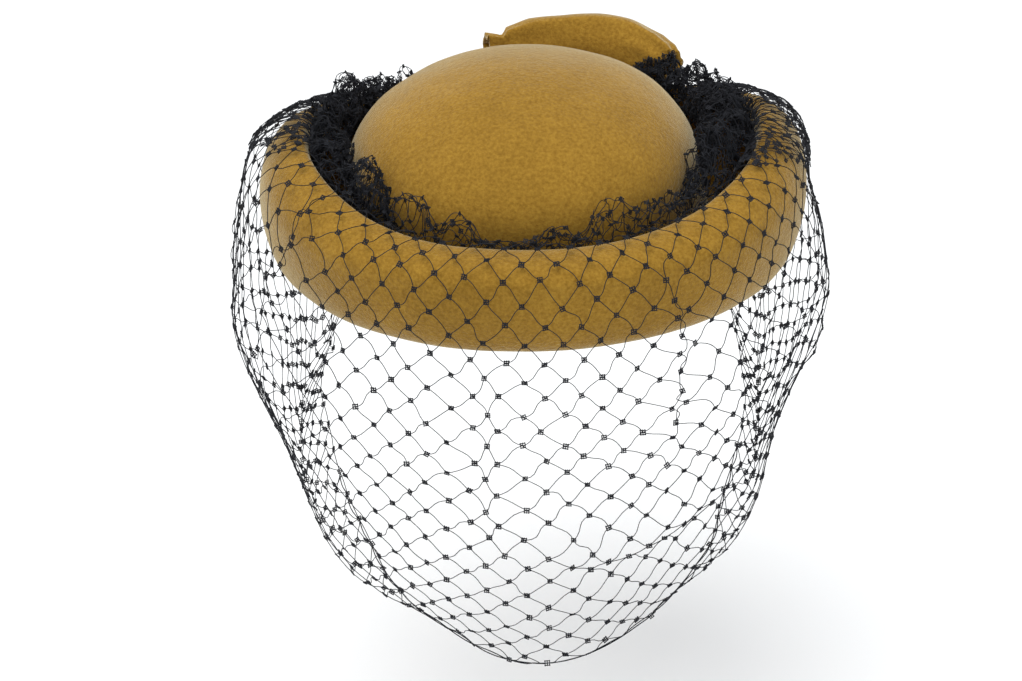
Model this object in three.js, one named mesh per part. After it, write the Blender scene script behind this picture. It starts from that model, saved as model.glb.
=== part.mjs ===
// A felt pillbox hat: a domed crown inside a brim turned up like a bowl, a pinched felt bow in the
// channel at the back, and a face veil gathered into the channel and drawn in below the face.
// Millimetres, +Z up. The wearer faces -Y. The origin is the centre of the head opening, in its plane.
// Angles round the hat are in degrees: 0 is the front, 90 the side at +X, 180 the back.

import * as THREE from 'three';

// ---- driving dimensions ----

const FELT = 2.2; // wall of the crown and the brim
const HEAD_OPENING = 67.5; // radius of the brim's inner edge, which sits on the head

const CROWN_RADIUS = 61; // at the dome's widest
const CROWN_WIDEST = 33; // height of that level
const CROWN_TOP = 72; // height of the dome's top
const CROWN_BASE_RADIUS = 66.9; // at the head opening
const CROWN_BASE = 0.6; // height of the crown's lower edge
const CROWN_SHIFT = -3.4; // the dome leans this far to the wearer's right
const CROWN_STEPS = 48; // round the crown

const BRIM_RADIUS = 95; // half the width at the fullest level
const BRIM_FULLEST = 27; // height of that level
const BRIM_FLOOR_RADIUS = 84; // where the flat underside turns up
const RIM_RADIUS = 80; // the turned-in top edge
const RIM_FRONT = 34.5; // height of the top edge at the front
const RIM_BACK = 36;
const RIM_SIDE = 50;
const BRIM_STEPS = 60; // round the brim

const DEPTH_SHARE = 0.88; // the brim is this much less deep than wide
const HEAD_SHARE = 0.95; // the crown and the head opening are rounder

const VEIL_WALL = 1.4; // outer form of the net, folds and knots included
const VEIL_CLEARANCE = 1; // between the net's outer form and the felt
const VEIL_STEPS_ROUND = 54;
const VEIL_STEPS_DOWN = 15;

// The gathered net in the channel, from one back end to the other: where its middle runs, half its
// width across the channel, half its height, and the height of its middle.
const RUCHE_SECTIONS = [
  { angle: -163, radius: 68.5, across: 2.5, tall: 5.0, middle: 41 },
  { angle: -140, radius: 70.5, across: 5.5, tall: 11.0, middle: 41 },
  { angle: -100, radius: 72.0, across: 5.5, tall: 12.5, middle: 44 },
  { angle: -60, radius: 72.0, across: 5.5, tall: 11.0, middle: 39 },
  { angle: -30, radius: 71.2, across: 5.5, tall: 8.0, middle: 31 },
  { angle: 0, radius: 71.0, across: 5.5, tall: 7.5, middle: 30 },
  { angle: 30, radius: 70.2, across: 6.0, tall: 8.0, middle: 31 },
  { angle: 60, radius: 69.5, across: 7.5, tall: 11.0, middle: 39 },
  { angle: 100, radius: 69.0, across: 8.0, tall: 12.5, middle: 45 },
  { angle: 120, radius: 69.5, across: 6.5, tall: 11.0, middle: 43 },
  { angle: 132, radius: 69.5, across: 3.0, tall: 5.0, middle: 40 },
];

// The bow, from its left flare past its two necks to its right flare.
const BOW_SECTIONS = [
  { angle: 191.5, radius: 79.0, across: 8.0, tall: 7.5, middle: 48 },
  { angle: 187.0, radius: 79.0, across: 5.5, tall: 6.0, middle: 48 },
  { angle: 184.0, radius: 79.5, across: 8.0, tall: 8.5, middle: 48 },
  { angle: 178.0, radius: 80.0, across: 11.0, tall: 11.0, middle: 49 },
  { angle: 165.0, radius: 80.0, across: 12.0, tall: 11.5, middle: 50.5 },
  { angle: 153.0, radius: 79.0, across: 11.0, tall: 10.5, middle: 51 },
  { angle: 145.0, radius: 77.5, across: 7.5, tall: 8.0, middle: 50 },
  { angle: 141.5, radius: 76.5, across: 5.5, tall: 6.0, middle: 50 },
  { angle: 137.0, radius: 75.0, across: 7.0, tall: 7.0, middle: 50 },
];

// Round the head, from one back end to the other: how far the veil stands off the brim, its fullest
// point, its lowest fold and its drawn-in lower edge.
const VEIL_SECTIONS = [
  { angle: -161, off: 1, full: 99, fullHeight: 14, low: 96, lowHeight: 4, edge: 90, edgeHeight: 3 },
  { angle: -130, off: 4, full: 105, fullHeight: 2, low: 96, lowHeight: -36, edge: 86, edgeHeight: -28 },
  { angle: -90, off: 6, full: 109, fullHeight: -18, low: 89, lowHeight: -82, edge: 76, edgeHeight: -61 },
  { angle: -65, off: 4, full: 107, fullHeight: -26, low: 87, lowHeight: -95, edge: 75, edgeHeight: -84 },
  { angle: -45, off: 2, full: 105, fullHeight: -28, low: 89, lowHeight: -103, edge: 80, edgeHeight: -101 },
  { angle: -20, off: 1, full: 102, fullHeight: -26, low: 98, lowHeight: -101, edge: 92, edgeHeight: -111 },
  { angle: 0, off: 1, full: 101, fullHeight: -25, low: 102, lowHeight: -99, edge: 100, edgeHeight: -115 },
  { angle: 20, off: 1, full: 102, fullHeight: -25, low: 98, lowHeight: -97, edge: 94, edgeHeight: -107 },
  { angle: 45, off: 1, full: 102, fullHeight: -24, low: 88, lowHeight: -94, edge: 81, edgeHeight: -93 },
  { angle: 65, off: 1, full: 103, fullHeight: -20, low: 82, lowHeight: -85, edge: 73, edgeHeight: -78 },
  { angle: 90, off: 1, full: 104, fullHeight: -14, low: 80, lowHeight: -74, edge: 73, edgeHeight: -61 },
  { angle: 130, off: 1, full: 103, fullHeight: 4, low: 93, lowHeight: -36, edge: 84, edgeHeight: -28 },
  { angle: 152, off: 1, full: 99, fullHeight: 14, low: 96, lowHeight: 4, edge: 90, edgeHeight: 3 },
];

const FELT_COLOUR = 0xb08638;
const NET_COLOUR = 0x17181c;

// ---- shared shapes ----

const { degToRad, lerp, clamp, smoothstep } = THREE.MathUtils;

// The row of a table at any angle, each column eased by a Catmull-Rom curve through its rows.
function sectionAt(table, angle) {
  const turned = Math.sign(table.at(-1).angle - table[0].angle);
  const beyond = table.findIndex((row) => (row.angle - angle) * turned > 0);
  const next = beyond < 0 ? table.length - 1 : Math.max(beyond, 1);
  const rows = [-2, -1, 0, 1].map((step) => table[clamp(next + step, 0, table.length - 1)]);
  const t = (angle - rows[1].angle) / (rows[2].angle - rows[1].angle);
  const eased = {};
  for (const column of Object.keys(rows[1])) {
    const [a, b, c, d] = rows.map((row) => row[column]);
    const slopeIn = (c - a) / 2;
    const slopeOut = (d - b) / 2;
    const bend = 3 * (c - b) - 2 * slopeIn - slopeOut;
    const recover = 2 * (b - c) + slopeIn + slopeOut;
    eased[column] = b + t * (slopeIn + t * (bend + t * recover));
  }
  return eased;
}

// A point by its angle, its half-width and its height. Far out it follows the brim's shallow oval.
function around(angle, radius, height) {
  const share = lerp(HEAD_SHARE, DEPTH_SHARE, smoothstep(radius, HEAD_OPENING, RIM_RADIUS));
  const turn = degToRad(angle);
  return new THREE.Vector3(radius * Math.sin(turn), -share * radius * Math.cos(turn), height);
}

// The brim's top edge sweeps up at both sides.
function rimHeight(angle) {
  const turn = degToRad(angle);
  const ends = lerp(RIM_BACK, RIM_FRONT, (1 + Math.cos(turn)) / 2);
  return lerp(ends, RIM_SIDE, Math.abs(Math.sin(turn)) ** 3.7);
}

// Moves each vertex of a geometry to the place that a function gives for its position and its uv.
function reshape(geometry, place) {
  const { position, uv } = geometry.attributes;
  const point = new THREE.Vector3();
  for (let i = 0; i < position.count; i++) {
    point.fromBufferAttribute(position, i);
    const moved = place(point, uv.getX(i), uv.getY(i));
    position.setXYZ(i, moved.x, moved.y, moved.z);
  }
  geometry.computeVertexNormals();
  return geometry;
}

// A closed body that follows the channel, with an oval section from a table at each angle.
function channelBody(table, steps, sides) {
  const rod = new THREE.CylinderGeometry(1, 1, 1, sides, steps);
  const first = table[0].angle;
  const last = table.at(-1).angle;
  const turned = Math.sign(last - first);
  return reshape(rod, (p) => {
    const angle = lerp(first, last, p.y + 0.5);
    const { radius, across, tall, middle } = sectionAt(table, angle);
    return around(angle, radius + across * p.x, middle + turned * tall * p.z);
  });
}

// ---- the pieces ----

// One wall of felt: the dome inside and outside, and below it a side that spreads to the opening.
function crownShape() {
  const outside = [];
  const inside = [];
  const domeSteps = 9;
  for (let i = 0; i <= domeSteps; i++) {
    const t = (Math.PI / 2) * (i / domeSteps);
    for (const [outline, wall] of [[outside, 0], [inside, FELT]]) {
      const radius = (CROWN_RADIUS - wall) * Math.sin(t);
      const height = CROWN_WIDEST + (CROWN_TOP - CROWN_WIDEST - wall) * Math.cos(t);
      outline.push(new THREE.Vector2(radius, height));
    }
  }
  for (const fall of [0.5, 1]) {
    const radius = lerp(CROWN_RADIUS, CROWN_BASE_RADIUS, fall * fall);
    const height = lerp(CROWN_WIDEST, CROWN_BASE, fall);
    outside.push(new THREE.Vector2(radius, height));
    inside.push(new THREE.Vector2(radius - FELT, height));
  }
  const dome = new THREE.LatheGeometry([...inside, ...outside.reverse()], CROWN_STEPS);
  return reshape(dome, (p, turned) => {
    const point = around(360 * turned, Math.hypot(p.x, p.z), p.y);
    point.x += CROWN_SHIFT * smoothstep(p.y, CROWN_BASE, CROWN_WIDEST);
    return point;
  });
}

// The outside of the brim at an angle: flat underside, full side and turned-in top, as one curve.
function brimCurve(angle) {
  const stations = [new THREE.Vector3(HEAD_OPENING, 1.4, 0)];
  for (const t of [0, 0.35, 0.7, 1]) {
    const turn = (Math.PI / 2) * t;
    const radius = lerp(BRIM_FLOOR_RADIUS, BRIM_RADIUS, Math.sin(turn));
    stations.push(new THREE.Vector3(radius, BRIM_FULLEST * (1 - Math.cos(turn)), 0));
  }
  for (const t of [0.5, 1]) {
    const turn = (Math.PI / 2) * t;
    const radius = lerp(RIM_RADIUS, BRIM_RADIUS, Math.cos(turn));
    stations.push(new THREE.Vector3(radius, lerp(BRIM_FULLEST, rimHeight(angle), Math.sin(turn)), 0));
  }
  return new THREE.CatmullRomCurve3(stations, false, 'centripetal');
}

function brimShape() {
  const wallSteps = 11; // each side of the wall, from the opening to the rim
  const sectionPoints = 2 * (wallSteps + 1);
  const ring = new THREE.TorusGeometry(1, 0.5, sectionPoints, BRIM_STEPS);
  return reshape(ring, (p, turned, section) => {
    const angle = 360 * turned;
    const step = Math.round(section * sectionPoints) % sectionPoints;
    const isInside = step > wallSteps;
    const along = (isInside ? sectionPoints - 1 - step : step) / wallSteps;
    const curve = brimCurve(angle);
    const point = curve.getPointAt(along);
    const direction = curve.getTangentAt(along);
    const wall = isInside ? FELT : 0;
    return around(angle, point.x - wall * direction.y, point.y + wall * direction.x);
  });
}

// The veil's section at an angle, from over the rim, out past the face and in to the selvage.
function veilCurve(angle) {
  const { off, full, fullHeight, low, lowHeight, edge, edgeHeight } = sectionAt(VEIL_SECTIONS, angle);
  const lift = VEIL_CLEARANCE + VEIL_WALL / 2;
  const overRim = rimHeight(angle) + lift;
  const stations = [
    [RIM_RADIUS - 1, overRim],
    [lerp(RIM_RADIUS, BRIM_RADIUS, 0.7) + lift + off / 2, lerp(BRIM_FULLEST, overRim, 0.75)],
    [BRIM_RADIUS + lift + off, BRIM_FULLEST],
    [full, fullHeight],
    [(full + low) / 2 + 2, (fullHeight + lowHeight) / 2],
    [low, lowHeight],
    [edge, edgeHeight],
  ].map(([radius, height]) => new THREE.Vector3(radius, height, 0));
  return new THREE.CatmullRomCurve3(stations, false, 'centripetal');
}

function veilShape() {
  const first = VEIL_SECTIONS[0].angle;
  const last = VEIL_SECTIONS.at(-1).angle;
  const sheet = new THREE.BoxGeometry(1, 1, 1, VEIL_STEPS_ROUND, VEIL_STEPS_DOWN, 1);
  return reshape(sheet, (p) => {
    const angle = lerp(first, last, p.x + 0.5);
    const curve = veilCurve(angle);
    const point = curve.getPointAt(0.5 - p.y);
    const direction = curve.getTangentAt(0.5 - p.y);
    const out = VEIL_WALL * p.z;
    return around(angle, point.x - out * direction.y, point.y + out * direction.x);
  });
}

// ---- the assembly ----

const felt = { color: FELT_COLOUR, roughness: 0.95, metalness: 0 };
const net = { color: NET_COLOUR, roughness: 0.7, metalness: 0 };

function piece(name, geometry, finish) {
  const mesh = new THREE.Mesh(geometry, new THREE.MeshStandardMaterial(finish));
  mesh.name = name;
  return mesh;
}

const group = new THREE.Group();
group.add(
  piece('crown', crownShape(), felt),
  piece('brim', brimShape(), felt),
  piece('bow', channelBody(BOW_SECTIONS, 22, 14), felt),
  piece('veil_ruche', channelBody(RUCHE_SECTIONS, 46, 10), net),
  piece('veil', veilShape(), net)
);

export default group;
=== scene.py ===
# %% [markdown]
# # A felt pillbox hat with a face veil
# The hat is four things to a milliner: a crown blocked in fur felt, a brim of the same felt turned
# up round it like a bowl, a bow pinched from a felt offcut, and a strip of knotted net that is
# gathered into the channel between crown and brim and falls over the face.
# This first step loads the frame that the hat was packed in. Every size below starts from it.

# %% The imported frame
import math
import bmesh
import bpy
import numpy as np
from mathutils import Matrix, Vector, noise


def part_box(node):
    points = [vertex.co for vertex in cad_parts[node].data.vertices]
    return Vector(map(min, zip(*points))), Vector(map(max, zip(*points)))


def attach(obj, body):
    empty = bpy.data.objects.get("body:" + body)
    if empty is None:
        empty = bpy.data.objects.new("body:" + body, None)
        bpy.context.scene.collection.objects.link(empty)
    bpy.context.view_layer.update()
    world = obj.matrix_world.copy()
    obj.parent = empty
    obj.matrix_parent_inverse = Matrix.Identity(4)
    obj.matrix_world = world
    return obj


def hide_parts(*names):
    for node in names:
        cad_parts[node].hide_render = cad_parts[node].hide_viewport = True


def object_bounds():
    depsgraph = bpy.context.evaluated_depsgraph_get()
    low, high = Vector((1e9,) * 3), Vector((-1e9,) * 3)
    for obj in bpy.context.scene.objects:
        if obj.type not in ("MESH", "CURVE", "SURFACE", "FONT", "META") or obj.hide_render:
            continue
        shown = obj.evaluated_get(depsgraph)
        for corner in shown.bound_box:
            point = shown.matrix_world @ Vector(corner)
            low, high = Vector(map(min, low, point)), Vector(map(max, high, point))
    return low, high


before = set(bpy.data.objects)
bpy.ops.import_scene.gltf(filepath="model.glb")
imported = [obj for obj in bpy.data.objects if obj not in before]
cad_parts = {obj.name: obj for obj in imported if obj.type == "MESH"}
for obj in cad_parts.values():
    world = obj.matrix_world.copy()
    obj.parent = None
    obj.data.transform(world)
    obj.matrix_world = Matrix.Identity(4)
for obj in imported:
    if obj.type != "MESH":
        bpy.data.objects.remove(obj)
cad_box = [[float(x) for x in corner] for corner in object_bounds()]
print("CAD box", cad_box)

MM = 0.001
NOISE_SEED = 8  # without a seed the noise vectors would start from the clock and never repeat
noise.seed_set(NOISE_SEED)
scene = bpy.context.scene

# %% [markdown]
# ## Sizes from the frame
# The brim's box gives the half-width, the share by which the oval is less deep than wide, and how
# high the rim sweeps at the sides. The crown's box gives the dome's top and its foot. The few sizes
# that no box shows are kept here by name, in millimetres as a hat maker would write them.

# %% Sizes
brim_low, brim_high = (Vector(corner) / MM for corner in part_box("brim"))
crown_low, crown_high = (Vector(corner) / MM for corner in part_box("crown"))

BRIM_RADIUS = (brim_high.x - brim_low.x) / 2
DEPTH_SHARE = (brim_high.y - brim_low.y) / (brim_high.x - brim_low.x)
RIM_SIDE = brim_high.z
CROWN_TOP = crown_high.z
CROWN_BASE = max(crown_low.z, 0.6)

CROWN_FELT = 2.2  # walls of the felt
BRIM_FELT = 2.0
BOW_FELT = 1.8
HEAD_OPENING = 67.5  # radius of the brim's inner edge
SEAM_LAP = 1.5  # the brim's inner edge is sewn this far into the crown's wall
HEAD_SHARE = 0.95  # the opening is a rounder oval than the brim
BRIM_FULLEST = 27.0  # height where the brim is widest
BRIM_FLOOR = 84.0  # radius where the flat underside turns up
RIM_RADIUS = 80.0
RIM_FRONT = 34.5
RIM_BACK = 36.0
RIM_SWEEP = 3.7  # how late the rim starts to rise on its way to the sides
CROWN_RADIUS = 61.0
CROWN_WIDEST = 33.0
CROWN_BASE_RADIUS = 66.9
CROWN_SHIFT = -3.4  # the dome leans this far to the wearer's right


def mix(a, b, share):
    return a + (b - a) * share


def ease(value, start, end):
    share = np.clip((value - start) / (end - start), 0, 1)
    return share * share * (3 - 2 * share)


def around(angle, radius, height):
    """A place on the hat, in metres: angle in degrees from the front, radius and height in mm."""
    share = mix(HEAD_SHARE, DEPTH_SHARE, ease(radius, HEAD_OPENING, RIM_RADIUS))
    turn = np.radians(angle)
    return np.stack([radius * np.sin(turn), -share * radius * np.cos(turn), height + 0 * turn], -1) * MM


def rim_height(angle):
    turn = np.radians(angle)
    ends = mix(RIM_BACK, RIM_FRONT, (1 + np.cos(turn)) / 2)
    return mix(ends, RIM_SIDE, np.abs(np.sin(turn)) ** RIM_SWEEP)


print("brim", round(BRIM_RADIUS * 2, 1), "mm wide, depth share", round(DEPTH_SHARE, 3))

# %% [markdown]
# ## The camera and the light
# The camera comes first, so that each piece can be looked at as soon as it is made. It stands a
# little above the hat and in front of it, tipped down, with a slight roll. The light is a bright
# room with two large soft panels, and the floor is plain and pale, well below the hanging veil.

# %% Camera
RIM_MIDDLE = Vector((0, 0, 0.046))
CAMERA_DISTANCE = 0.77
CAMERA_ELEVATION = math.radians(23)
PITCH_DOWN = math.radians(28.38)
TURN_LEFT = math.radians(0.80)
ROLL = math.radians(-2.05)
LENS = 78.39
SENSOR = 36

camera_data = bpy.data.cameras.new("camera")
camera_data.lens = LENS
camera_data.sensor_width = SENSOR
camera = bpy.data.objects.new("camera", camera_data)
scene.collection.objects.link(camera)
away = Vector((0, -math.cos(CAMERA_ELEVATION), math.sin(CAMERA_ELEVATION)))
turned = (
    Matrix.Rotation(TURN_LEFT, 4, "Z")
    @ Matrix.Rotation(math.pi / 2 - PITCH_DOWN, 4, "X")
    @ Matrix.Rotation(ROLL, 4, "Z")
)
camera.matrix_world = Matrix.Translation(RIM_MIDDLE + CAMERA_DISTANCE * away) @ turned
scene.camera = camera
scene.view_settings.view_transform = "Standard"
print("camera at", [round(x, 4) for x in camera.matrix_world.translation])

# %% Light and floor
world = bpy.data.worlds.new("bright room")
world.use_nodes = True
world.node_tree.nodes["Background"].inputs["Color"].default_value = (0.97, 0.985, 1.0, 1)
world.node_tree.nodes["Background"].inputs["Strength"].default_value = 0.86
scene.world = world


def soft_panel(name, place, size, watts, colour):
    light = bpy.data.lights.new(name, "AREA")
    light.shape = "DISK"
    light.size = size
    light.energy = watts
    light.color = colour
    panel = bpy.data.objects.new(name, light)
    panel.location = place
    panel.rotation_euler = (RIM_MIDDLE - Vector(place)).to_track_quat("-Z", "Y").to_euler()
    scene.collection.objects.link(panel)


soft_panel("key panel", (-0.3, -0.15, 1.5), 1.5, 17.0, (1.0, 0.985, 0.96))
soft_panel("fill panel", (0.5, -1.5, 0.9), 1.5, 5.0, (0.96, 0.98, 1.0))

FLOOR_DROP = 0.07
FLOOR_SIZE = 8.0
floor_mesh = bpy.data.meshes.new("floor")
bm = bmesh.new()
bmesh.ops.create_grid(bm, x_segments=1, y_segments=1, size=FLOOR_SIZE)
bmesh.ops.translate(bm, verts=bm.verts, vec=(0, 0, cad_box[0][2] - FLOOR_DROP))
bm.to_mesh(floor_mesh)
bm.free()
floor = bpy.data.objects.new("floor", floor_mesh)
scene.collection.objects.link(floor)
pale = bpy.data.materials.new("pale floor")
pale.use_nodes = True
pale.node_tree.nodes["Principled BSDF"].inputs["Base Color"].default_value = (0.93, 0.94, 0.95, 1)
pale.node_tree.nodes["Principled BSDF"].inputs["Roughness"].default_value = 0.9
floor_mesh.materials.append(pale)

# %% [markdown]
# ## Materials
# Fur felt is a mat of fine hair with a short nap. Its colour is mottled at about a millimetre, it
# lightens where the nap is seen edge-on, and it has no clear gloss. Noise on Object coordinates
# gives the mottling and the nap's bump, and the sheen is set on the shader itself.
# The net is dull black thread, so its shader is dark with a little noise from fibre to fibre.

# %% Felt
def node(tree, kind, **settings):
    made = tree.nodes.new(kind)
    for name, value in settings.items():
        setattr(made, name, value)
    return made


def noise_node(tree, coordinates, scale, detail, roughness=0.5):
    made = node(tree, "ShaderNodeTexNoise")
    made.inputs["Scale"].default_value = scale
    made.inputs["Detail"].default_value = detail
    made.inputs["Roughness"].default_value = roughness
    tree.links.new(coordinates, made.inputs["Vector"])
    return made.outputs["Fac"]


def two_colours(tree, share, low, high, start, end):
    ramp = node(tree, "ShaderNodeValToRGB")
    ramp.color_ramp.elements[0].position = start
    ramp.color_ramp.elements[1].position = end
    ramp.color_ramp.elements[0].color = (*low, 1)
    ramp.color_ramp.elements[1].color = (*high, 1)
    tree.links.new(share, ramp.inputs["Fac"])
    return ramp.outputs["Color"]


def blended(tree, mode, share, first, second):
    made = node(tree, "ShaderNodeMix", data_type="RGBA", blend_type=mode)
    made.inputs["Factor"].default_value = share
    tree.links.new(first, made.inputs[6])
    tree.links.new(second, made.inputs[7])
    return made.outputs[2]


def velour_felt(name):
    material = bpy.data.materials.new(name)
    material.use_nodes = True
    tree = material.node_tree
    shader = tree.nodes["Principled BSDF"]
    place = node(tree, "ShaderNodeTexCoord").outputs["Object"]
    grain = noise_node(tree, place, 900, 3, 0.6)
    patches = noise_node(tree, place, 110, 3, 0.55)
    broad = noise_node(tree, place, 22, 2)
    colour = two_colours(tree, grain, (0.215, 0.110, 0.011), (0.345, 0.196, 0.026), 0.30, 0.72)
    shade = two_colours(tree, patches, (0.94, 0.93, 0.92), (1.05, 1.05, 1.05), 0.32, 0.70)
    fade = two_colours(tree, broad, (0.90, 0.89, 0.87), (1.06, 1.06, 1.08), 0.30, 0.70)
    colour = blended(tree, "MULTIPLY", 1.0, colour, shade)
    colour = blended(tree, "MULTIPLY", 1.0, colour, fade)
    tree.links.new(colour, shader.inputs["Base Color"])
    shader.inputs["Roughness"].default_value = 0.95
    shader.inputs["Specular IOR Level"].default_value = 0.15
    shader.inputs["Sheen Weight"].default_value = 0.72
    shader.inputs["Sheen Roughness"].default_value = 0.33
    shader.inputs["Sheen Tint"].default_value = (1.0, 0.95, 0.72, 1)
    nap = noise_node(tree, place, 1500, 3, 0.65)
    rough = noise_node(tree, place, 420, 4, 0.6)
    height = node(tree, "ShaderNodeMath", operation="ADD")
    tree.links.new(nap, height.inputs[0])
    tree.links.new(rough, height.inputs[1])
    bump = node(tree, "ShaderNodeBump")
    bump.inputs["Strength"].default_value = 0.55
    bump.inputs["Distance"].default_value = 0.0006
    tree.links.new(height.outputs["Value"], bump.inputs["Height"])
    tree.links.new(bump.outputs["Normal"], shader.inputs["Normal"])
    return material


felt = velour_felt("mustard fur felt")

# %% Net thread
def thread_finish(name):
    material = bpy.data.materials.new(name)
    material.use_nodes = True
    tree = material.node_tree
    shader = tree.nodes["Principled BSDF"]
    place = node(tree, "ShaderNodeTexCoord").outputs["Object"]
    fibres = noise_node(tree, place, 1600, 2)
    worn = two_colours(tree, fibres, (0.003, 0.0034, 0.005), (0.016, 0.018, 0.025), 0.3, 0.7)
    tree.links.new(worn, shader.inputs["Base Color"])
    shader.inputs["Roughness"].default_value = 0.7
    shader.inputs["Specular IOR Level"].default_value = 0.25
    bump = node(tree, "ShaderNodeBump")
    bump.inputs["Strength"].default_value = 0.5
    bump.inputs["Distance"].default_value = 0.00008
    tree.links.new(noise_node(tree, place, 3200, 2), bump.inputs["Height"])
    tree.links.new(bump.outputs["Normal"], shader.inputs["Normal"])
    return material


black_thread = thread_finish("black net thread")
print("materials", [m.name for m in (felt, black_thread, pale)])

# %% [markdown]
# ## Helpers for the felt pieces
# Felt is steamed over a wooden block, so crown and brim are both turned forms: a profile spun round
# the hat's axis and then pushed into its oval, its swept rim and its small dents. The alternative,
# a sculpted mesh, would lose the even wall. Solidify gives the wall its thickness at the end.

# %% Finishing a piece
def to_piece(name, bm, material):
    mesh = bpy.data.meshes.new(name)
    bm.to_mesh(mesh)
    bm.free()
    mesh.materials.append(material)
    piece = bpy.data.objects.new(name, mesh)
    scene.collection.objects.link(piece)
    return piece


def settle(piece):
    """Applies a piece's modifiers, so that its mesh is what shows."""
    depsgraph = bpy.context.evaluated_depsgraph_get()
    settled = bpy.data.meshes.new_from_object(piece.evaluated_get(depsgraph), depsgraph=depsgraph)
    piece.modifiers.clear()
    piece.data = settled
    return piece


def hand_over(piece, nodes):
    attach(piece, "root")
    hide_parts(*nodes)
    triangles = sum(len(p.vertices) - 2 for p in piece.data.polygons)
    print(piece.name, triangles, "triangles")


def felt_wall(piece, thickness):
    """Gives an open sheet its wall, in mm, inwards from the drawn surface."""
    for polygon in piece.data.polygons:
        polygon.use_smooth = True
    wall = piece.modifiers.new("wall", "SOLIDIFY")
    wall.thickness = thickness * MM
    wall.offset = -1
    wall.use_even_offset = True
    return settle(piece)


def turned_felt(profile, steps):
    """Spins a profile of (radius, height) in mm round the axis into an open felt shell."""
    bm = bmesh.new()
    verts = [bm.verts.new((radius * MM, 0, height * MM)) for radius, height in profile]
    edges = [bm.edges.new(pair) for pair in zip(verts, verts[1:])]
    bmesh.ops.spin(
        bm,
        geom=verts + edges,
        cent=(0, 0, 0),
        axis=(0, 0, 1),
        angle=2 * math.pi,
        steps=steps,
        use_merge=True,
    )
    bmesh.ops.remove_doubles(bm, verts=bm.verts, dist=0.01 * MM)
    bmesh.ops.recalc_face_normals(bm, faces=bm.faces)
    return bm


BROAD_DENTS, SMALL_DENTS = (28, 0.9), (75, 0.35)  # how close they lie, and how deep in mm


def hand_blocked(point, amount):
    """The unevenness that a blocking steamer leaves, as a small shift in metres."""
    dents = sum(noise.noise(point * close) * deep for close, deep in (BROAD_DENTS, SMALL_DENTS))
    return dents * amount * MM


# %% [markdown]
# ## The crown
# The crown is a deep dome with a side that spreads slightly to the head opening. It leans a little
# to the wearer's right. The profile is a quarter of an ellipse and a short side, spun round.

# %% Crown
CROWN_STEPS = 160
CROWN_DENTED = 0.9
CROWN_DENTED_ABOVE = 16.0  # below this height the felt evens out towards the seam


def crown_profile():
    dome = []
    for t in np.linspace(0, math.pi / 2, 28):
        dome.append((CROWN_RADIUS * math.sin(t), mix(CROWN_WIDEST, CROWN_TOP, math.cos(t))))
    for fall in np.linspace(0, 1, 12)[1:]:
        radius = mix(CROWN_RADIUS, CROWN_BASE_RADIUS, fall**2)
        dome.append((radius, mix(CROWN_WIDEST, CROWN_BASE, fall)))
    return dome


def crown_place(co):
    radius = math.hypot(co.x, co.y) / MM
    angle = math.degrees(math.atan2(co.x, -co.y))
    placed = Vector(around(angle, radius, co.z / MM))
    placed.x += CROWN_SHIFT * MM * ease(co.z / MM, CROWN_BASE, CROWN_WIDEST)
    out = Vector((placed.x, placed.y, placed.z * 0.6)).normalized()
    dented = CROWN_DENTED * ease(co.z / MM, CROWN_BASE, CROWN_DENTED_ABOVE)
    return placed + out * hand_blocked(placed, dented)


bm = turned_felt(crown_profile(), CROWN_STEPS)
for vert in bm.verts:
    vert.co = crown_place(vert.co)
crown = felt_wall(to_piece("felt_crown", bm, felt), CROWN_FELT)
hand_over(crown, ["crown"])

# %% [markdown]
# ## The brim
# From the head opening the felt runs out flat, turns up round the hat and comes in again at the
# top, where its edge is rolled inside as a soft hem. One profile holds all of it. The roll is part
# of the same sheet, so the rim is thick and round rather than a cut edge.

# %% Brim
BRIM_STEPS = 200
SEAM_HEIGHT = 1.4  # the flat underside rises this far to the seam
HEM_ROLL = 2.7  # radius of the rolled rim
HEM_TURNED_IN = 8.0  # how far the hem runs back inside
HEM_FALL = 2.2  # how far it falls on the way
RIM_DRAWN = 36.0  # height at which the profile is drawn
BRIM_DENTED_FROM = 78.0  # inside this radius the felt evens out towards the seam
OTHER_DENTS = Vector((0.4, 0, 0))  # a step through the noise, so that brim and crown differ


def brim_profile():
    outline = []
    for radius in np.linspace(HEAD_OPENING - SEAM_LAP, BRIM_FLOOR, 9):
        outline.append((radius, SEAM_HEIGHT - SEAM_HEIGHT * ease(radius, HEAD_OPENING, BRIM_FLOOR)))
    for t in np.linspace(0, math.pi / 2, 22)[1:]:
        outline.append((mix(BRIM_FLOOR, BRIM_RADIUS, math.sin(t)), BRIM_FULLEST * (1 - math.cos(t))))
    for t in np.linspace(0, math.pi / 2, 18)[1:]:
        radius = mix(RIM_RADIUS, BRIM_RADIUS, math.cos(t))
        outline.append((radius, mix(BRIM_FULLEST, RIM_DRAWN, math.sin(t))))
    for t in np.linspace(0, math.pi, 10)[1:]:
        outline.append((RIM_RADIUS - HEM_ROLL * math.sin(t), RIM_DRAWN - HEM_ROLL * (1 - math.cos(t))))
    for run in np.linspace(0, 1, 5)[1:]:
        outline.append((RIM_RADIUS + HEM_TURNED_IN * run, RIM_DRAWN - 2 * HEM_ROLL - HEM_FALL * run**2))
    return outline


def brim_place(co):
    radius = math.hypot(co.x, co.y) / MM
    angle = math.degrees(math.atan2(co.x, -co.y))
    height = co.z / MM
    share_up = np.clip((height - BRIM_FULLEST) / (RIM_DRAWN - BRIM_FULLEST), 0, 1.1)
    lifted = (rim_height(angle) - RIM_DRAWN) * share_up
    placed = Vector(around(angle, radius, height + lifted))
    out = Vector((placed.x, placed.y, 0)).normalized()
    dented = ease(radius, HEAD_OPENING, BRIM_DENTED_FROM)
    return placed + out * hand_blocked(placed + OTHER_DENTS, dented)


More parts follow.
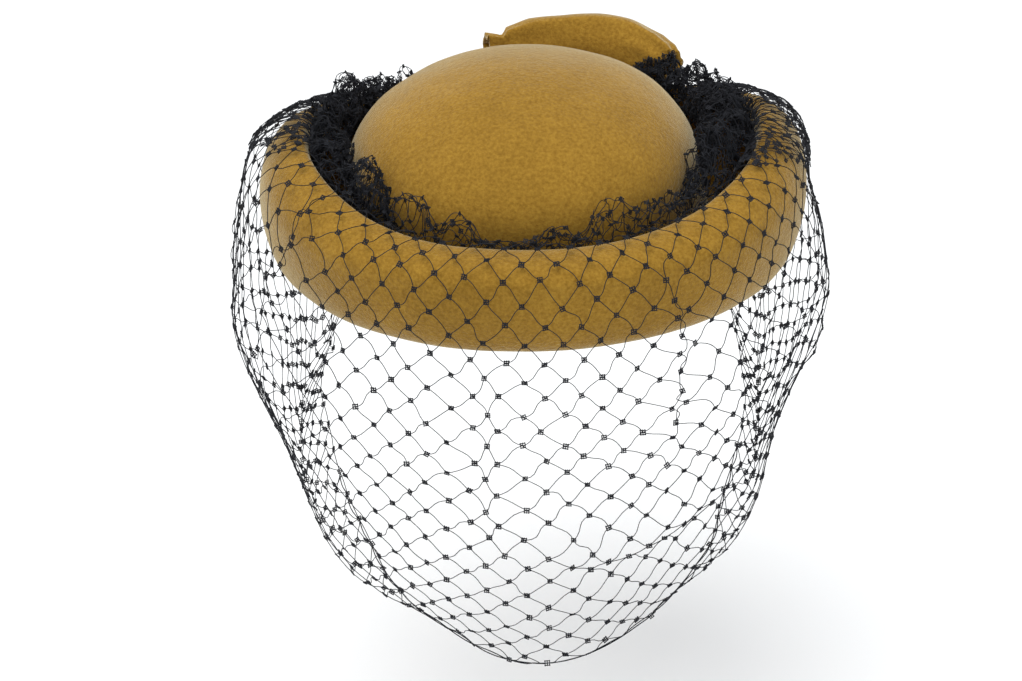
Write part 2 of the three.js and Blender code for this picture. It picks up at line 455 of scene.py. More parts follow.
bm = turned_felt(brim_profile(), BRIM_STEPS)
for vert in bm.verts:
    vert.co = brim_place(vert.co)
brim = felt_wall(to_piece("felt_brim", bm, felt), BRIM_FELT)
hand_over(brim, ["brim"])

# %% [markdown]
# ## The bow
# The bow is a strip of felt rolled into a soft tube that lies in the channel at the back. Both ends
# are drawn in with small pleats, and past the pinch on the wearer's right the felt flares open. A
# ring of vertices extruded step by step along the channel makes the tube, and each ring takes its
# size from a short table. The pleats are a wave round the ring that grows towards the ends.

# %% Tables eased by angle
def eased_row(rows, angle):
    """The row of a table at any angle, eased through its rows by a Catmull-Rom curve."""
    way = 1 if rows[-1][0] > rows[0][0] else -1
    beyond = [i for i, row in enumerate(rows) if (row[0] - angle) * way > 0]
    after = max(beyond[0], 1) if beyond else len(rows) - 1
    nearby = [min(max(after + step, 0), len(rows) - 1) for step in (-2, -1, 0, 1)]
    a, b, c, d = (np.array(rows[i], float) for i in nearby)
    t = (angle - b[0]) / (c[0] - b[0])
    slope_in, slope_out = (c - a) / 2, (d - b) / 2
    square = 3 * (c - b) - 2 * slope_in - slope_out
    cube = 2 * (b - c) + slope_in + slope_out
    return b + t * (slope_in + t * (square + t * cube))


# %% Bow
# angle, radius, half-width across the channel, half-height, middle height, pleat depth
BOW_ROWS = [
    (191.5, 79.0, 8.0, 7.4, 48.2, 0.07),
    (188.6, 79.0, 6.6, 6.6, 48.0, 0.09),
    (187.2, 79.0, 5.6, 6.3, 48.0, 0.09),
    (186.0, 79.3, 8.6, 8.6, 48.2, 0.05),
    (180.0, 80.0, 11.0, 10.6, 48.8, 0.025),
    (165.0, 80.0, 12.0, 11.7, 50.3, 0.00),
    (153.0, 79.0, 11.2, 10.7, 50.5, 0.01),
    (144.0, 77.5, 9.0, 8.6, 49.6, 0.05),
    (139.5, 76.2, 7.4, 7.2, 48.6, 0.07),
    (137.0, 75.4, 5.6, 5.6, 48.2, 0.10),
]
BOW_RING = 72
PLEATS = 7  # round the tube, twisting slowly along it
PLEAT_TWIST = 0.09
WIDE_PLEATS = 4  # fewer and shallower ones, that keep the others from being all alike
WIDE_SHARE = 0.4
LAP_TURN = -0.75  # where the strip's long edge laps over itself, below and behind
LAP_RISE = 0.13  # how much the radius grows once round, as a share
BOW_STEPS = 90
BOW_DENTED = 0.8
BOW_DENTS_CLOSER = 1.6  # the dents of so small a piece lie closer


def bow_place(angle, turn):
    _, radius, across, tall, middle, pleat = eased_row(BOW_ROWS, angle)
    wave = 1 + pleat * math.cos(PLEATS * turn + PLEAT_TWIST * angle)
    wave += WIDE_SHARE * pleat * math.cos(WIDE_PLEATS * turn - 1.2)
    wave += LAP_RISE * (((turn - LAP_TURN) / (2 * math.pi)) % 1.0)
    out, up = across * wave * math.cos(turn), tall * wave * math.sin(turn)
    spot = Vector(around(angle, radius + out, middle + up))
    return spot + spot.normalized() * hand_blocked(spot * BOW_DENTS_CLOSER, BOW_DENTED)


bm = bmesh.new()
bmesh.ops.create_circle(bm, cap_ends=False, radius=1, segments=BOW_RING)
ring = list(bm.edges)
for step in range(BOW_STEPS):
    grown = bmesh.ops.extrude_edge_only(bm, edges=ring)["geom"]
    ring = [part for part in grown if isinstance(part, bmesh.types.BMEdge)]
    grown_verts = [part for part in grown if isinstance(part, bmesh.types.BMVert)]
    bmesh.ops.translate(bm, verts=grown_verts, vec=(0, 0, 1))
for vert in bm.verts:
    turn = math.atan2(vert.co.y, vert.co.x)
    angle = mix(BOW_ROWS[0][0], BOW_ROWS[-1][0], round(vert.co.z) / BOW_STEPS)
    vert.co = bow_place(angle, turn)
bmesh.ops.recalc_face_normals(bm, faces=bm.faces)
bow = felt_wall(to_piece("felt_bow", bm, felt), BOW_FELT)
hand_over(bow, ["bow"])

# %% [markdown]
# ## The net
# Millinery veiling is a diamond net with a small woven square at each crossing. A flat grid whose
# faces are poked and whose own edges are then taken away leaves just such diamonds, and each leg is
# subdivided so that it can bend. The flat net is then laid on the veil's surface by a function: a
# cloth simulation of this many threads would be slow and would lose the regular front.
# The surface comes from sections round the head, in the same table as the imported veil.

# %% The veil's surface
# angle, how far off the brim, then radius and height of the fullest place, the lowest fold, the edge
VEIL_ROWS = [
    (-161, 1, 99, 14, 96, 4, 90, 3),
    (-130, 4, 105, 2, 96, -36, 86, -28),
    (-90, 6, 109, -18, 89, -82, 76, -61),
    (-65, 4, 107, -26, 87, -95, 75, -84),
    (-45, 2, 105, -28, 89, -103, 80, -101),
    (-20, 1, 102, -26, 98, -101, 92, -111),
    (0, 1, 101, -25, 102, -99, 100, -115),
    (20, 1, 102, -25, 98, -97, 94, -107),
    (45, 0.5, 102, -24, 88, -94, 81, -93),
    (65, 0, 103, -20, 82, -85, 73, -78),
    (90, 0, 104, -14, 80, -74, 73, -61),
    (130, 0, 103, 4, 93, -36, 84, -28),
    (152, 1, 99, 14, 96, 4, 90, 3),
]
VEIL_LIFT = 1.7  # the net's middle stands this far off the felt
VEIL_TUCK = 8.0  # depth of net inside the rim
STEPS_DOWN = 96
ANGLE_STEP, DOWN_STEP = 0.4, 0.006  # how far to each side the surface is felt for its normal


def even_path(stations, steps):
    """Points evenly spaced along a smooth path through the stations."""
    spots = [np.array(spot, float) for spot in stations]
    spots = [2 * spots[0] - spots[1], *spots, 2 * spots[-1] - spots[-2]]
    fine = []
    for a, b, c, d in zip(spots, spots[1:], spots[2:], spots[3:]):
        t1 = np.linalg.norm(b - a) ** 0.5
        t2 = t1 + np.linalg.norm(c - b) ** 0.5
        t3 = t2 + np.linalg.norm(d - c) ** 0.5
        for t in np.linspace(t1, t2, 16, endpoint=False):
            ab, cd = mix(a, b, t / t1), mix(c, d, (t - t2) / (t3 - t2))
            bc = mix(b, c, (t - t1) / (t2 - t1))
            abc, bcd = mix(ab, bc, t / t2), mix(bc, cd, (t - t1) / (t3 - t1))
            fine.append(mix(abc, bcd, (t - t1) / (t2 - t1)))
    fine = np.array([*fine, spots[-2]])
    run = np.concatenate([[0], np.cumsum(np.linalg.norm(np.diff(fine, axis=0), axis=1))])
    even = np.linspace(0, run[-1], steps)
    return np.stack([np.interp(even, run, fine[:, 0]), np.interp(even, run, fine[:, 1])], -1), run[-1]


def veil_section(angle):
    _, off, full, full_height, low, low_height, edge, edge_height = eased_row(VEIL_ROWS, angle)
    over_rim = rim_height(angle) + VEIL_LIFT
    return even_path(
        [
            (RIM_RADIUS - 6, over_rim - VEIL_TUCK),
            (RIM_RADIUS - 1, over_rim),
            (mix(RIM_RADIUS, BRIM_RADIUS, 0.7) + VEIL_LIFT + off / 2, mix(BRIM_FULLEST, over_rim, 0.75)),
            (BRIM_RADIUS + VEIL_LIFT + off, BRIM_FULLEST),
            (full, full_height),
            ((full + low) / 2 + 2, (full_height + low_height) / 2),
            (low, low_height),
            (edge, edge_height),
        ],
        STEPS_DOWN,
    )


veil_angles = np.linspace(VEIL_ROWS[0][0], VEIL_ROWS[-1][0], 157)
veil_sections = [veil_section(angle) for angle in veil_angles]
veil_grid = np.array([section for section, _ in veil_sections])
veil_lengths = np.array([length for _, length in veil_sections])
print("veil's depth at the front", round(float(np.interp(0, veil_angles, veil_lengths))), "mm")


def on_veil(angle, down, out=0.0):
    """Places on the veil, their normals and the way across.

    The angle is in degrees, down goes from 0 at the channel to 1 at the edge, and out is in mm.
    """

    def spot(angle, down):
        column = (angle - veil_angles[0]) / (veil_angles[1] - veil_angles[0])
        column = np.clip(column, 0, len(veil_angles) - 1.001)
        row = np.clip(down, 0, 0.9999) * (STEPS_DOWN - 1)
        i, j = column.astype(int), row.astype(int)
        u, v = (column - i)[..., None], (row - j)[..., None]
        upper = mix(veil_grid[i, j], veil_grid[i, j + 1], v)
        lower = mix(veil_grid[i + 1, j], veil_grid[i + 1, j + 1], v)
        flat = mix(upper, lower, u)
        return around(angle, flat[..., 0], flat[..., 1])

    angle, down = np.asarray(angle, float), np.asarray(down, float)
    here = spot(angle, down)
    across = spot(angle + ANGLE_STEP, down) - spot(angle - ANGLE_STEP, down)
    along = spot(angle, down + DOWN_STEP) - spot(angle, down - DOWN_STEP)
    normal = np.cross(along, across)
    normal /= np.maximum(np.linalg.norm(normal, axis=-1, keepdims=True), 1e-12)
    return here + normal * (np.asarray(out, float) * MM)[..., None], normal, across


# %% [markdown]
# ## Folds in the net
# The net isn't evenly stretched. At the front it lies nearly flat, and towards the ends it is
# gathered closer. Each fold is a line on the veil: beside it the net is pulled in towards the line
# and lifted, strongly enough in a few places to lie over itself. One table holds them all.

# %% Gathering and folds
FOLD_WANDER = 2.6  # how far a fold strays from its straight line, in mm
PULL_PEAK = 1.65  # the pull's curve times this is 1 at its highest
# from angle and share down, to angle and share down, half-width in mm, pull in mm, lift in mm
FOLD_ROWS = [
    (-62, 0.20, -59, 0.62, 4.5, 5.0, 2.5),
    (-52, 0.09, -57, 0.27, 5.5, 6.4, 2.0),
    (-12, 0.34, -8, 0.70, 6.0, 2.6, 1.2),
    (25, 0.20, 27, 0.54, 4.0, 3.6, 1.8),
    (3, 0.79, 38, 0.72, 5.0, 4.2, 3.0),
    (-96, 0.25, -86, 0.70, 7.0, 3.4, 2.0),
    (-130, 0.15, -118, 0.70, 7.0, 4.0, 1.5),
    (70, 0.36, 80, 0.80, 6.0, 3.6, 1.5),
    (102, 0.32, 92, 0.75, 7.0, 3.6, 1.5),
    (131, 0.25, 122, 0.70, 7.0, 4.0, 1.5),
]
VEIL_RADIUS = 98.0
VEIL_NET_ROWS = 15
FRONT_SPACING = 7.1  # from column to column, in degrees
SIDE_SPACING = 5.2


def gathered(first, last, spacing):
    """The angles of the net's columns, whose spacing in degrees follows a function of the angle."""
    fine = np.linspace(first, last, 400)
    count = np.concatenate([[0], np.cumsum(np.diff(fine) / spacing((fine[:-1] + fine[1:]) / 2))])
    return np.interp(np.linspace(0, count[-1], round(count[-1]) + 1), count, fine)


def veil_spacing(angle):
    return mix(FRONT_SPACING, SIDE_SPACING, ease(np.abs(angle - 2), 55, 95))


veil_columns = gathered(VEIL_ROWS[0][0], VEIL_ROWS[-1][0], veil_spacing)
VEIL_COLUMNS = len(veil_columns) - 1
print("the veil has", VEIL_COLUMNS, "columns and", VEIL_NET_ROWS, "rows of diamonds")


def noise_field(points, scale, shift):
    moved = Vector((shift, shift * 0.7, -shift))
    return np.array([noise.noise_vector(Vector(p) * scale + moved) for p in points])


def folded(angle, down):
    """Moves places on the flat veil into its folds, and returns how far they are lifted."""
    turn_mm = math.radians(1) * VEIL_RADIUS
    depth = np.interp(angle, veil_angles, veil_lengths)
    x, y = angle * turn_mm, down * depth
    lift = np.zeros_like(x)
    for start, start_down, end, end_down, width, pull, rise in FOLD_ROWS:
        middle_depth = np.interp((start + end) / 2, veil_angles, veil_lengths)
        a = np.array([start * turn_mm, start_down * middle_depth])
        b = np.array([end * turn_mm, end_down * middle_depth])
        length = np.linalg.norm(b - a)
        way = (b - a) / length
        along = ((x - a[0]) * way[0] + (y - a[1]) * way[1]) / length
        off = (x - a[0]) * -way[1] + (y - a[1]) * way[0]
        off = off + FOLD_WANDER * np.sin(5 * along + start)
        hold = ease(along, -0.3, 0.25) * (1 - ease(along, 0.75, 1.3))
        near = np.exp(-((off / width) ** 2) / 2) * hold
        shift = -pull * PULL_PEAK * (off / width) * near
        x, y = x + shift * -way[1], y + shift * way[0]
        lift += rise * near * (1 + 0.5 * np.tanh(2 * off / width))
    return x / turn_mm, y / depth, lift


def lay_veil(flat, waves):
    """Lays flat net places, in columns and rows, on the veil. Returns what on_veil does."""
    column, row = flat[:, 0], flat[:, 1]
    angle = np.interp(column, np.arange(VEIL_COLUMNS + 1), veil_columns)
    share = row / VEIL_NET_ROWS
    down = 1.28 * share - 0.28 * share**2  # the rows lie closer towards the edge
    spread = mix(0.95, 1.06, ease(down, 0.15, 0.6))  # the columns run apart on their way down
    angle = angle * mix(spread, 1.0, ease(np.abs(angle), 55, 110))
    angle = angle + waves[:, 0] * mix(1.0, 1.8, ease(np.abs(angle), 50, 90))
    down = down + waves[:, 1] * 0.008
    angle, down, lift = folded(angle, down)
    sides = ease(np.abs(angle), 45, 80)
    ripple = (waves[:, 2] * mix(0.8, 2.0, sides) - 2.4 * sides) * ease(down, 0.12, 0.45)
    return on_veil(angle, down, lift * ease(down, 0.03, 0.15) + ripple)


# %% [markdown]
# ## Threads and knots
# A leg of the net is one strand that leans one way or the other. The strands that lean right are
# bent like a soft S, because the knot turns them, and those that lean left run nearly straight.
# Geometry Nodes turns the edges into round threads, and puts a small woven square at each knot.

# %% A flat net
LEG_CUTS = 5
S_BEND = 0.030  # sideways swing of a leg, in cells
BOW_BEND = 0.035
LEG_SPREAD = 0.032  # how much one leg's bend differs from the next
SLANT = 0.7  # a swing across a leg goes this far sideways and this far up or down


def flat_net(columns, rows, unevenness, seed):
    """A flat diamond net, one cell to a unit, as a bmesh of knots and legs with an uneven shift."""
    bm = bmesh.new()
    bmesh.ops.create_grid(bm, x_segments=columns, y_segments=rows, size=0.5)
    bmesh.ops.scale(bm, verts=bm.verts, vec=(columns, rows, 1))
    bmesh.ops.translate(bm, verts=bm.verts, vec=(columns / 2, rows / 2, 0))
    grid_edges = list(bm.edges)
    bmesh.ops.poke(bm, faces=bm.faces)
    bmesh.ops.delete(bm, geom=list(bm.faces), context="FACES_ONLY")
    bmesh.ops.delete(bm, geom=grid_edges, context="EDGES")
    shift = bm.verts.layers.float_vector.new("shift")
    uneven = np.random.default_rng(seed)
    for vert in bm.verts:
        vert[shift] = Vector(uneven.normal(0, unevenness, 3))
    return bm


def leg_bend(flat, seed):
    """The legs' curves in cells: an S in those that lean right, a bow in the others, none alike."""
    inside = flat - np.floor(flat)
    x, y = inside[:, 0] - 0.5, inside[:, 1] - 0.5
    run = np.clip(np.abs(x) * 2, 0, 1)
    leans_right = (x * y) < 0
    side = np.where(leans_right, 1.0, -1.0)
    leg = np.floor(flat * 2).astype(int)
    across, down = leg.max(axis=0) + 1
    own = np.random.default_rng(seed).normal(0, LEG_SPREAD, (across, down, 2))
    own = own[leg[:, 0], leg[:, 1]]
    bow, ess = np.sin(math.pi * run), np.sin(2 * math.pi * run)
    swing = np.where(leans_right, S_BEND * ess * np.sign(x), BOW_BEND * bow)
    swing = swing + own[:, 0] * bow + own[:, 1] * 0.6 * ess
    return np.stack([swing * SLANT, swing * SLANT * side], -1)


# %% Threads by Geometry Nodes
def geometry_group(name):
    group = bpy.data.node_groups.new(name, "GeometryNodeTree")
    group.interface.new_socket("Geometry", in_out="INPUT", socket_type="NodeSocketGeometry")
    group.interface.new_socket("Geometry", in_out="OUTPUT", socket_type="NodeSocketGeometry")
    return group, node(group, "NodeGroupInput"), node(group, "NodeGroupOutput")


def thread_group(name, radius, sides, material):
    group, given, made = geometry_group(name)
    curves = node(group, "GeometryNodeMeshToCurve")
    section = node(group, "GeometryNodeCurvePrimitiveCircle")
    section.inputs["Resolution"].default_value = sides
    section.inputs["Radius"].default_value = radius
    tube = node(group, "GeometryNodeCurveToMesh")
    tube.inputs["Fill Caps"].default_value = True
    smooth = node(group, "GeometryNodeSetShadeSmooth")
    finish = node(group, "GeometryNodeSetMaterial")
    finish.inputs["Material"].default_value = material
    group.links.new(given.outputs[0], curves.inputs["Mesh"])
    group.links.new(curves.outputs["Curve"], tube.inputs["Curve"])
    group.links.new(section.outputs["Curve"], tube.inputs["Profile Curve"])
    group.links.new(tube.outputs["Mesh"], smooth.inputs["Geometry"])
    group.links.new(smooth.outputs["Geometry"], finish.inputs["Geometry"])
    group.links.new(finish.outputs["Geometry"], made.inputs[0])
    return group


def as_threads(piece, radius, sides=3):
    modifier = piece.modifiers.new("threads", "NODES")
    modifier.node_group = thread_group(piece.name, radius, sides, black_thread)
    return settle(piece)


# %% A woven knot, and knots by Geometry Nodes
KNOT_SIZE = 1.92
KNOT_STRAND = 0.29  # width of one strand
KNOT_THICKNESS = 0.26
KNOT_LANE = 0.72  # from strand to strand
KNOT_LEVEL = 0.07  # how far the two layers lie over and under the middle
KNOT_TURNS = (("Z", 0.16), ("X", 0.2), ("Y", 0.2))  # how far one knot is turned, in radians


def woven_knot():
    """Three strands crossing three, the small square that the net maker weaves at each crossing."""
    bm = bmesh.new()
    for turn, level in ((0, KNOT_LEVEL), (math.pi / 2, -KNOT_LEVEL)):
        for lane in (-1, 0, 1):
            strand = bmesh.ops.create_cube(bm, size=1)["verts"]
            bmesh.ops.scale(bm, verts=strand, vec=(KNOT_SIZE * MM, KNOT_STRAND * MM, KNOT_THICKNESS * MM))
            bmesh.ops.translate(bm, verts=strand, vec=(0, lane * KNOT_LANE * MM, level * MM))
            bmesh.ops.rotate(bm, verts=strand, cent=(0, 0, 0), matrix=Matrix.Rotation(turn, 3, "Z"))
    return to_piece("knot_pattern", bm, black_thread)


knot_pattern = woven_knot()


def knot_group(name):
    group, given, made = geometry_group(name)
    pattern = node(group, "GeometryNodeObjectInfo")
    pattern.inputs["Object"].default_value = knot_pattern
    turned = node(group, "GeometryNodeInputNamedAttribute", data_type="FLOAT_VECTOR")
    turned.inputs["Name"].default_value = "turned"
    sized = node(group, "GeometryNodeInputNamedAttribute", data_type="FLOAT")
    sized.inputs["Name"].default_value = "sized"
    place = node(group, "GeometryNodeInstanceOnPoints")
    realize = node(group, "GeometryNodeRealizeInstances")
    group.links.new(given.outputs[0], place.inputs["Points"])
    group.links.new(pattern.outputs["Geometry"], place.inputs["Instance"])
    group.links.new(turned.outputs["Attribute"], place.inputs["Rotation"])
    group.links.new(sized.outputs["Attribute"], place.inputs["Scale"])
    group.links.new(place.outputs["Instances"], realize.inputs["Geometry"])
    group.links.new(realize.outputs["Geometry"], made.inputs[0])
    return group


def as_knots(name, places, normals, across, seed, sizes=(0.92, 1.08)):
    """A woven knot at each place, flat to the net and turned a little at random."""
    uneven = np.random.default_rng(seed)
    mesh = bpy.data.meshes.new(name)
    mesh.vertices.add(len(places))
    mesh.vertices.foreach_set("co", np.ascontiguousarray(places, dtype=np.float32).ravel())
    mesh.attributes.new("turned", "FLOAT_VECTOR", "POINT")
    mesh.attributes.new("sized", "FLOAT", "POINT")
    turns = []
    for normal, way in zip(normals, across):
        up = Vector(normal).normalized()
        right = Vector(way)
        right = (right - up * right.dot(up)).normalized()
        lie = Matrix((right, up.cross(right), up)).transposed()
        for axis, far in KNOT_TURNS:
            lie = lie @ Matrix.Rotation(uneven.normal(0, far), 3, axis)
        turns.append(lie.to_euler()[:])
    mesh.attributes["turned"].data.foreach_set("vector", np.array(turns, dtype=np.float32).ravel())
    spread = uneven.uniform(*sizes, len(turns)).astype(np.float32)
    mesh.attributes["sized"].data.foreach_set("value", spread)
    piece = bpy.data.objects.new(name, mesh)
    scene.collection.objects.link(piece)
    modifier = piece.modifiers.new("knots", "NODES")
    modifier.node_group = knot_group(name)
    return settle(piece)


# %% [markdown]
# ## The veil
# The flat net is laid twice: once as bare knots and once with its legs cut into short steps. Noise
# over the flat net makes it wander as a soft net does, the same for legs and knots. The ruche and
# the spill further down are nets too, so one function lays them all by a rule of their own.

# %% Laying a net
# noise scale and start, and how far it moves the net: degrees across, share down (x 0.008), mm out
SLOW_WAVES = (0.23, 3.1, (1.9, 2.2, 2.0))
QUICK_WAVES = (0.75, 8.7, (0.5, 0.7, 0.5))


def veil_waves(flat):
    spots = np.stack([flat[:, 0], flat[:, 1], 0 * flat[:, 0]], -1)
    return sum(noise_field(spots, scale, start) * far for scale, start, far in (SLOW_WAVES, QUICK_WAVES))


def read_flat(bm):
    shift = bm.verts.layers.float_vector["shift"]
    flat = np.array([vert.co[:2] for vert in bm.verts])
    moved = np.array([vert[shift][:2] for vert in bm.verts])
    return flat, moved


def laid_net(bm, lay, seed, bend=1.0):
    """Moves a flat net to its places and returns what the rule, lay, gave for the bare knots."""
    flat, moved = read_flat(bm)
    knots = lay(flat, moved)
    bmesh.ops.subdivide_edges(bm, edges=bm.edges, cuts=LEG_CUTS, use_grid_fill=False)
    flat, moved = read_flat(bm)
    places = lay(flat, moved + leg_bend(flat, seed) * bend)[0]
    for vert, place in zip(bm.verts, places):
        vert.co = place
    return knots


# %% Veil
VEIL_THREAD = 0.172  # radius of a thread
VEIL_UNEVEN = 0.035  # how far a knot strays, in cells

bm = flat_net(VEIL_COLUMNS, VEIL_NET_ROWS, VEIL_UNEVEN, seed=4)
veil_knots = laid_net(bm, lambda flat, moved: lay_veil(flat + moved, veil_waves(flat)), seed=5)
print("veil:", len(veil_knots[0]), "knots,", len(bm.edges), "short steps of thread")
threads = as_threads(to_piece("veil_threads", bm, black_thread), VEIL_THREAD * MM)
hand_over(threads, ["veil"])
knots = as_knots("veil_knots", *veil_knots, seed=11)
hand_over(knots, ["veil"])

# %% [markdown]
# ## The veil's edge
# Along its lower edge the net ends in a selvage thread that takes the same way over the veil as the
# last row of knots. Over the face a second thread runs beside it and meets it at each knot.

# %% Selvage
SELVAGE_THREAD = 0.2
FACE_SPAN = 72  # the second thread runs this far to each side


def edge_line(first, last, rows_down, swing, height):
    """A thread through the knots of one row from one angle to another, swinging out between them."""
    spots = [i for i, angle in enumerate(veil_columns) if first <= angle <= last]
    column = np.linspace(spots[0], spots[-1], (spots[-1] - spots[0]) * 6 + 1)
    between = np.abs(np.sin(math.pi * column))
    flat = np.stack([column, rows_down + swing * between], -1)
    waves = veil_waves(np.stack([column, np.full_like(column, rows_down)], -1))
    places, normals, _ = lay_veil(flat, waves)
    return places + normals * height * MM * between[:, None]


def as_line(bm, places):
    verts = [bm.verts.new(place) for place in places]
    for pair in zip(verts, verts[1:]):
        bm.edges.new(pair)


bm = bmesh.new()
as_line(bm, edge_line(-180, 180, VEIL_NET_ROWS, 0.0, 0.25))
as_line(bm, edge_line(-FACE_SPAN, FACE_SPAN, VEIL_NET_ROWS, -0.10, -0.3))
selvage = as_threads(to_piece("veil_selvage", bm, black_thread), SELVAGE_THREAD * MM, sides=4)
hand_over(selvage, ["veil"])

# %% [markdown]
# ## The gathered net in the channel
# The top of the strip is gathered hard and stitched down in the channel, so it stands there as a
# crumpled ruche: thin at the front, where single loops show, and almost solid black behind the
# sides. It is the same net, so it is made in the same way, rolled round a line along the channel
# and crumpled by noise. Where it would cut the felt it is held back from it. Behind the sides the
# gathers fill the channel, so a second roll of half the size lies inside the first there.

# %% Ruche
# angle, radius, half-width across, half-height, middle height
RUCHE_ROWS = [
    (-158, 67.5, 2.5, 4.0, 37),
    (-140, 69.5, 6.0, 8.0, 40),
    (-110, 70.5, 8.0, 10.5, 44),
    (-85, 70.5, 8.0, 10.5, 43.5),
    (-66, 70.8, 8.0, 10.0, 40),
    (-48, 71.0, 7.0, 8.5, 35),
    (-30, 71.2, 5.5, 7.5, 31),
    (0, 71.0, 5.5, 7.0, 30),
    (30, 69.6, 6.5, 8.0, 31),
    (55, 67.8, 9.0, 9.5, 36),
    (75, 67.0, 10.0, 10.0, 41),
    (100, 67.0, 9.5, 10.5, 44),
    (120, 68.0, 8.5, 10.0, 43.5),
    (134, 68.0, 5.5, 9.0, 44),
    (145, 66.5, 2.5, 7.0, 44),
]
# loops that stand out of the ruche: angle, half-width in degrees, rise in mm
LOOP_ROWS = [
    (-112, 7, 3),
    (-93, 6, 2),
    (-50, 9, 5.5),
    (-35, 5.5, 8.5),
    (-21, 3.5, 6),
    (2, 4, 4),
    (19, 6, 8),
    (44, 5, 3),
    (66, 6, 6),
    (88, 6, 3),
    (112, 8, 1),
]
RUCHE_NET_ROWS = 7
ROLL_FROM, ROLL_TO = -0.55, math.pi + 0.75  # how far round its line the net is rolled
THIN_SPACING, FULL_SPACING, TANGLE_SPACING = 5.4, 1.5, 1.15  # in degrees
TANGLE_ANGLE, TANGLE_WIDTH = -50, 9  # a knot of net over the wearer's right eye
CRUMPLE_SCALE, CREASE_SCALE = 0.31, 0.7  # of the slow and the quick noise
RUCHE_THREAD = 0.16
RUCHE_UNEVEN = 0.06
RUCHE_BEND = 2.2  # crumpled legs bend more
CORE_SHARE = 0.5  # size of the second roll
CORE_BARE_FRONT = 52  # it starts this far round to each side
CROWN_CLEAR, RIM_CLEAR = 1.8, 1.5  # the least room between net and felt, in mm
OVER_RIM = 8  # above the rim the net may lean out this far


def ruche_spacing(angle):
    tangle = np.exp(-(((angle - TANGLE_ANGLE) / TANGLE_WIDTH) ** 4))
    spacing = mix(THIN_SPACING, FULL_SPACING, ease(np.abs(angle + 2), 44, 72))
    return mix(spacing, TANGLE_SPACING, tangle)


ruche_columns = gathered(RUCHE_ROWS[0][0], RUCHE_ROWS[-1][0], ruche_spacing)
RUCHE_COLUMNS = len(ruche_columns) - 1
ruche_angles = np.linspace(RUCHE_ROWS[0][0], RUCHE_ROWS[-1][0], 148)
ruche_grid = np.array([eased_row(RUCHE_ROWS, angle)[1:] for angle in ruche_angles])


def keep_clear(radius, height, angle):
    """Holds the net between the crown and the rim while it is inside the channel."""
    dome = np.clip((height - CROWN_WIDEST) / (CROWN_TOP - CROWN_WIDEST), 0, 1)
    crown_side = CROWN_RADIUS * np.sqrt(1 - dome**2) + CROWN_SHIFT * np.sin(np.radians(angle))
    over_rim = ease(height - rim_height(angle), -1.0, 5.0)
    rim_side = mix(RIM_RADIUS - HEM_ROLL - RIM_CLEAR, RIM_RADIUS + OVER_RIM, over_rim)
    return np.clip(radius, crown_side + CROWN_CLEAR, rim_side)


def lay_ruche(flat, moved, fullness):
    """Places on the ruche, rolled to a share of its full size."""
    column, row = flat[:, 0] + moved[:, 0], flat[:, 1] + moved[:, 1]
    angle = np.interp(column, np.arange(RUCHE_COLUMNS + 1), ruche_columns)
    radius, across, tall, middle = (np.interp(angle, ruche_angles, ruche_grid[:, k]) for k in range(4))
    turn = mix(ROLL_FROM, ROLL_TO, row / RUCHE_NET_ROWS)
    full = ease(np.abs(angle), 40, 75)
    spots = np.stack([column * 0.9, row * 2.0, 0 * row + 9 * fullness], -1)
    crumple = noise_field(spots, CRUMPLE_SCALE, 2.2)
    crease = noise_field(spots, CREASE_SCALE, 5.4) * mix(0.7, 1.0, full)[:, None]
    reach = 0.84 + 0.65 * crumple[:, 0] + 0.40 * crease[:, 0]
    reach = np.clip(reach, mix(0.15, 0.7, full), 1.4) * fullness
    radius = radius + across * reach * np.cos(turn) + 2.2 * crease[:, 1] + 1.5 * crumple[:, 1]
    height = middle + tall * reach * np.sin(turn) + 3.0 * crease[:, 2] + 3.0 * crumple[:, 2]
    upper = ease(np.sin(turn) * reach, 0.1, 0.9)
    for loop_angle, loop_width, rise in LOOP_ROWS:
        near = np.exp(-(((angle - loop_angle) / loop_width) ** 4)) * upper
        height = height + rise * near
        radius = radius - 0.35 * rise * near
    angle = angle + 4.5 * crumple[:, 1] + 2.2 * crease[:, 2]
    radius = keep_clear(radius, height, angle)
    return around(angle, radius, height)


def ruche_net(fullness, bare_front, seed):
    """The rolled net at a share of its full size, without what is nearer the front than an angle."""
    bm = flat_net(RUCHE_COLUMNS, RUCHE_NET_ROWS, RUCHE_UNEVEN, seed)
    columns = range(RUCHE_COLUMNS + 1)
    front = [v for v in bm.verts if abs(np.interp(v.co.x, columns, ruche_columns)) < bare_front]
    bmesh.ops.delete(bm, geom=front, context="VERTS")
    (knots,) = laid_net(bm, lambda *net: [lay_ruche(*net, fullness)], 6, RUCHE_BEND)
    return bm, knots


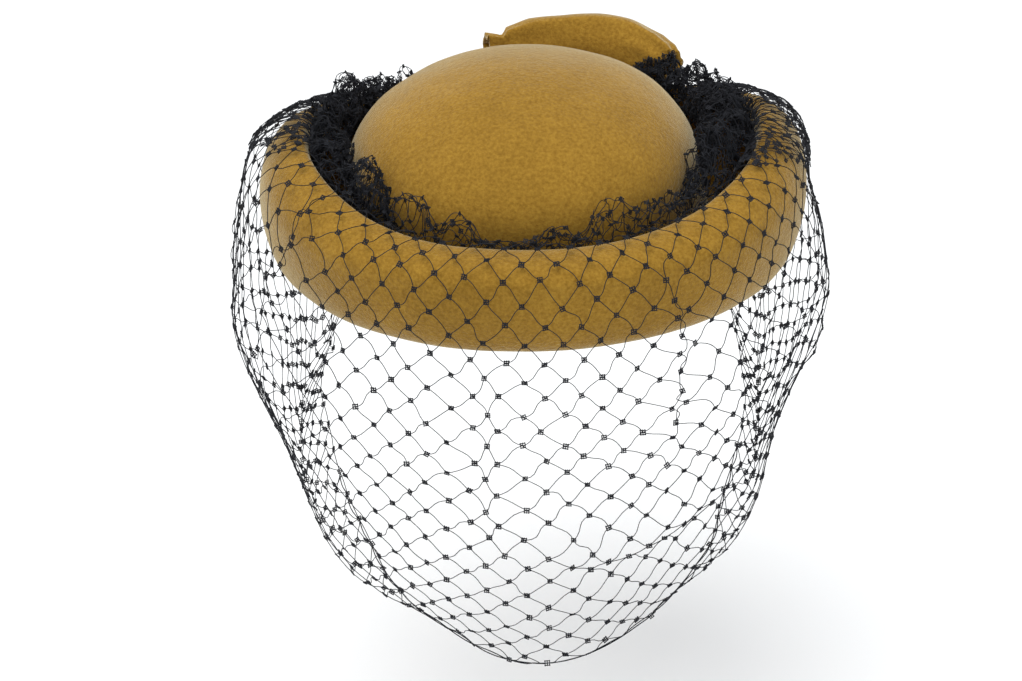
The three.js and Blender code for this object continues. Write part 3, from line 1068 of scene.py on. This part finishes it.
bm, ruche_knots = ruche_net(1.0, 0, seed=21)
print("ruche:", len(ruche_knots), "knots,", len(bm.edges), "short steps of thread")
ruche_threads = as_threads(to_piece("ruche_threads", bm, black_thread), RUCHE_THREAD * MM)
hand_over(ruche_threads, ["veil_ruche"])
bm, _ = ruche_net(CORE_SHARE, CORE_BARE_FRONT, seed=22)
ruche_core = as_threads(to_piece("ruche_core", bm, black_thread), RUCHE_THREAD * MM)
hand_over(ruche_core, ["veil_ruche"])
tilt = np.random.default_rng(31)
any_way = tilt.normal(0, 1, (len(ruche_knots), 3))
any_side = tilt.normal(0, 1, (len(ruche_knots), 3))
knots = as_knots("ruche_knots", ruche_knots, any_way, any_side, seed=12, sizes=(0.65, 0.9))
hand_over(knots, ["veil_ruche"])

# %% [markdown]
# Behind the sides the gathers are too full for the channel, so some of the net spills over the rim
# and lies crumpled on the brim with the veil. Two short strips of net, laid on the veil's own
# surface with close columns and a strong crumple, make that spill.

# %% Spill over the rim
SPILL_SPANS = [(-136, -74), (62, 128)]
SPILL_ROWS = 4
SPILL_SPACING = 2.3
SPILL_THREAD = 0.15
SPILL_UNEVEN = 0.12
SPILL_BEND = 1.6
SPILL_ENDS = 18  # degrees over which a strip starts and ends


def lay_spill(flat, angles):
    """Lays flat net places on the veil's surface near the rim. Returns what on_veil does."""
    column, row = flat[:, 0], flat[:, 1]
    angle = np.interp(column, np.arange(len(angles)), angles)
    crumple = noise_field(np.stack([column * 0.8 + angles[0], row * 1.3, 0 * row], -1), 0.55, 9.3)
    angle = angle + 3.2 * crumple[:, 0]
    opens = ease(angle, angles[0], angles[0] + SPILL_ENDS)
    closes = ease(angle, angles[-1] - SPILL_ENDS, angles[-1])
    reach = mix(0.07, 0.17, opens * (1 - closes))
    down = 0.02 + reach * row / SPILL_ROWS + 0.035 * crumple[:, 1]
    return on_veil(angle, np.clip(down, 0.005, 1), 0.2 + 1.3 * np.abs(crumple[:, 2]))


def spill_strip(first, last, seed):
    angles = np.arange(first, last + 0.1, SPILL_SPACING)
    bm = flat_net(len(angles) - 1, SPILL_ROWS, SPILL_UNEVEN, seed)
    knots = laid_net(bm, lambda flat, moved: lay_spill(flat + moved, angles), seed + 1, SPILL_BEND)
    return bm, knots


for side, (first, last), seed in zip(("right", "left"), SPILL_SPANS, (45, 44)):
    bm, spill_knots = spill_strip(first, last, seed)
    spill = as_threads(to_piece("spill_threads_" + side, bm, black_thread), SPILL_THREAD * MM)
    hand_over(spill, ["veil"])
    knots = as_knots("spill_knots_" + side, *spill_knots, seed=15, sizes=(0.7, 0.95))
    hand_over(knots, ["veil"])

bpy.data.objects.remove(knot_pattern)
